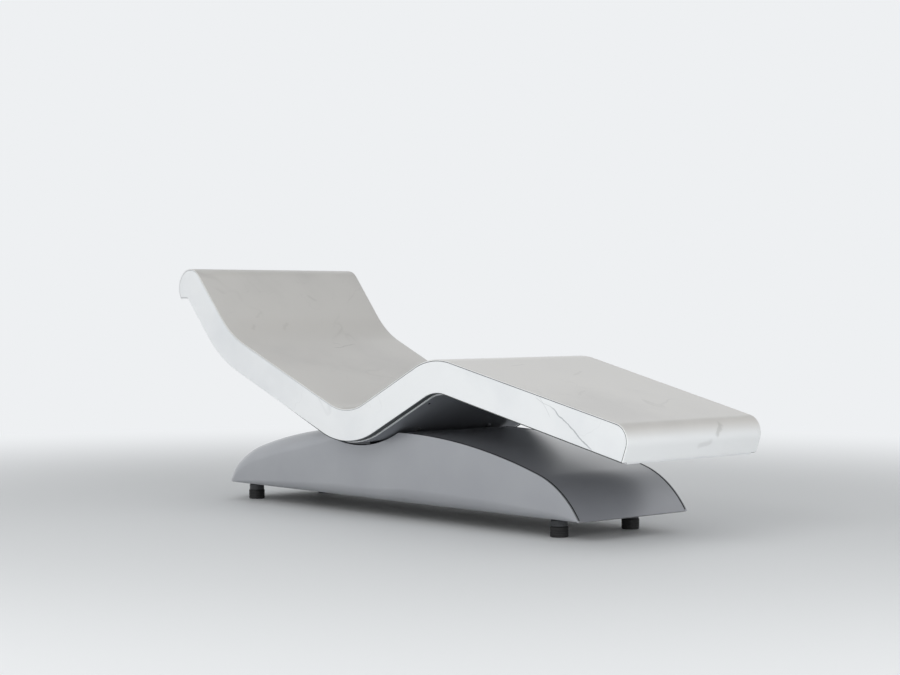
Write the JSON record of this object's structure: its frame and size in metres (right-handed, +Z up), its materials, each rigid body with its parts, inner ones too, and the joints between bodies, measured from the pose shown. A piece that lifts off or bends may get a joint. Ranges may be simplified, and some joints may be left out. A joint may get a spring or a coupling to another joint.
{
  "type": "heated relaxation lounger",
  "caption": "Zigzag lounger of honed marble slabs that tilts on a curved rocker held in a low arched pedestal with a motor drive inside.",
  "frame": {"origin": "on the floor, under the middle of the lounger's length and width", "axes": "+X towards the foot end, +Y towards the side away from the camera, +Z up"},
  "size_m": [2.05, 0.706, 0.7955],
  "materials": {
    "marble": "honed white marble with faint grey veins",
    "heating_mat": "silicone heating mat",
    "sensor": "steel capsule of a temperature sensor",
    "foam": "rigid insulating foam",
    "frame_steel": "dark powder coat on steel",
    "tray": "satin dark grey anodised aluminium",
    "trim": "satin anodised edge trim",
    "bright_steel": "bright turned steel",
    "rail_steel": "ground steel plate",
    "rocker_lacquer": "satin dark grey lacquer",
    "polymer": "black sliding polymer",
    "base_lacquer": "satin silver grey metallic lacquer",
    "panel_lacquer": "satin silver grey metallic lacquer",
    "saddle_lacquer": "satin grey lacquer on steel",
    "bottom_plate": "dark coated steel sheet",
    "drive_housing": "black moulded housing",
    "drive_tube": "drawn aluminium tube",
    "electronics": "dark moulded enclosure",
    "roller": "cast polyamide roller",
    "foot_rubber": "black rubber pad",
    "foot_steel": "dark grey coated steel"
  },
  "bodies": {
    "base": {"base_body": "base_lacquer", "front_top_panel": "panel_lacquer", "saddle_plate": "saddle_lacquer", "bottom_plate": "bottom_plate", "frame_rail_left": "frame_steel", "frame_rail_right": "frame_steel", "frame_cross_members": "frame_steel", "cradle_left": "frame_steel", "cradle_right": "frame_steel", "axle_rear": "bright_steel", "axle_front": "bright_steel", "axle_collars": "bright_steel", "actuator_gearbox": "drive_housing", "actuator_motor": "drive_housing", "actuator_tube": "drive_tube", "actuator_mounts": "frame_steel", "control_box": "electronics", "power_supply": "electronics", "mains_inlet": "electronics"},
    "shell": {"marble_top": "marble", "cheek_left": "marble", "cheek_right": "marble", "heating_mat_back": "heating_mat", "heating_mat_seat": "heating_mat", "heating_mat_legs": "heating_mat", "seat_sensor": "sensor", "foam_core": "foam", "spine_left": "frame_steel", "spine_right": "frame_steel", "cross_tubes": "frame_steel", "underside_tray": "tray", "edge_trim_left": "trim", "edge_trim_right": "trim", "foot_lip": "trim", "tray_screws": "bright_steel", "rail_plate_left": "rail_steel", "rail_plate_right": "rail_steel", "rail_bolts": "bright_steel", "rocker_cover": "rocker_lacquer", "rocker_side_left": "rocker_lacquer", "rocker_side_right": "rocker_lacquer", "rocker_crossbar": "rail_steel", "drive_bracket": "rail_steel", "keeper_shoes": "polymer"},
    "drive_rod": {"actuator_rod": "bright_steel", "rod_fork": "rail_steel", "drive_pin": "bright_steel"},
    "roller_rear_left": {"roller_rear_left": "roller"},
    "roller_rear_right": {"roller_rear_right": "roller"},
    "roller_front_left": {"roller_front_left": "roller"},
    "roller_front_right": {"roller_front_right": "roller"},
    "foot_rear_left": {"foot_pad_rear_left": "foot_rubber", "foot_stem_rear_left": "foot_steel"},
    "foot_rear_right": {"foot_pad_rear_right": "foot_rubber", "foot_stem_rear_right": "foot_steel"},
    "foot_front_left": {"foot_pad_front_left": "foot_rubber", "foot_stem_front_left": "foot_steel"},
    "foot_front_right": {"foot_pad_front_right": "foot_rubber", "foot_stem_front_right": "foot_steel"}
  },
  "joints": [
    {"name": "shell_tilt", "type": "hinge", "parent": "base", "child": "shell", "pos_m": [-0.19966, 0, 0.675], "axis": [0, -1, 0], "range_deg": [0, 18]},
    {"name": "rod_slide", "type": "slide", "parent": "base", "child": "drive_rod", "axis": [1, 0, 0], "range_m": [0, 0.1635]},
    {"name": "roller_rear_left_spin", "type": "hinge", "parent": "base", "child": "roller_rear_left", "pos_m": [-0.34437, -0.149, 0.22962], "axis": [0, -1, 0], "range_deg": [-406, 2]},
    {"name": "roller_rear_right_spin", "type": "hinge", "parent": "base", "child": "roller_rear_right", "pos_m": [-0.34437, 0.149, 0.22962], "axis": [0, -1, 0], "range_deg": [-406, 2]},
    {"name": "roller_front_left_spin", "type": "hinge", "parent": "base", "child": "roller_front_left", "pos_m": [-0.05495, -0.149, 0.22962], "axis": [0, -1, 0], "range_deg": [-406, 2]},
    {"name": "roller_front_right_spin", "type": "hinge", "parent": "base", "child": "roller_front_right", "pos_m": [-0.05495, 0.149, 0.22962], "axis": [0, -1, 0], "range_deg": [-406, 2]},
    {"name": "foot_rear_left_screw", "type": "slide", "parent": "base", "child": "foot_rear_left", "axis": [0, 0, 1], "range_m": [-0.008, 0.008]},
    {"name": "foot_rear_right_screw", "type": "slide", "parent": "base", "child": "foot_rear_right", "axis": [0, 0, 1], "range_m": [-0.008, 0.008]},
    {"name": "foot_front_left_screw", "type": "slide", "parent": "base", "child": "foot_front_left", "axis": [0, 0, 1], "range_m": [-0.008, 0.008]},
    {"name": "foot_front_right_screw", "type": "slide", "parent": "base", "child": "foot_front_right", "axis": [0, 0, 1], "range_m": [-0.008, 0.008]}
  ],
  "couplings": [
    {"joint": "rod_slide", "follows": "shell_tilt", "m_per_rad": 0.5193},
    {"joint": "roller_rear_left_spin", "follows": "shell_tilt", "ratio": -22.4},
    {"joint": "roller_rear_right_spin", "follows": "shell_tilt", "ratio": -22.4},
    {"joint": "roller_front_left_spin", "follows": "shell_tilt", "ratio": -22.4},
    {"joint": "roller_front_right_spin", "follows": "shell_tilt", "ratio": -22.4}
  ]
}
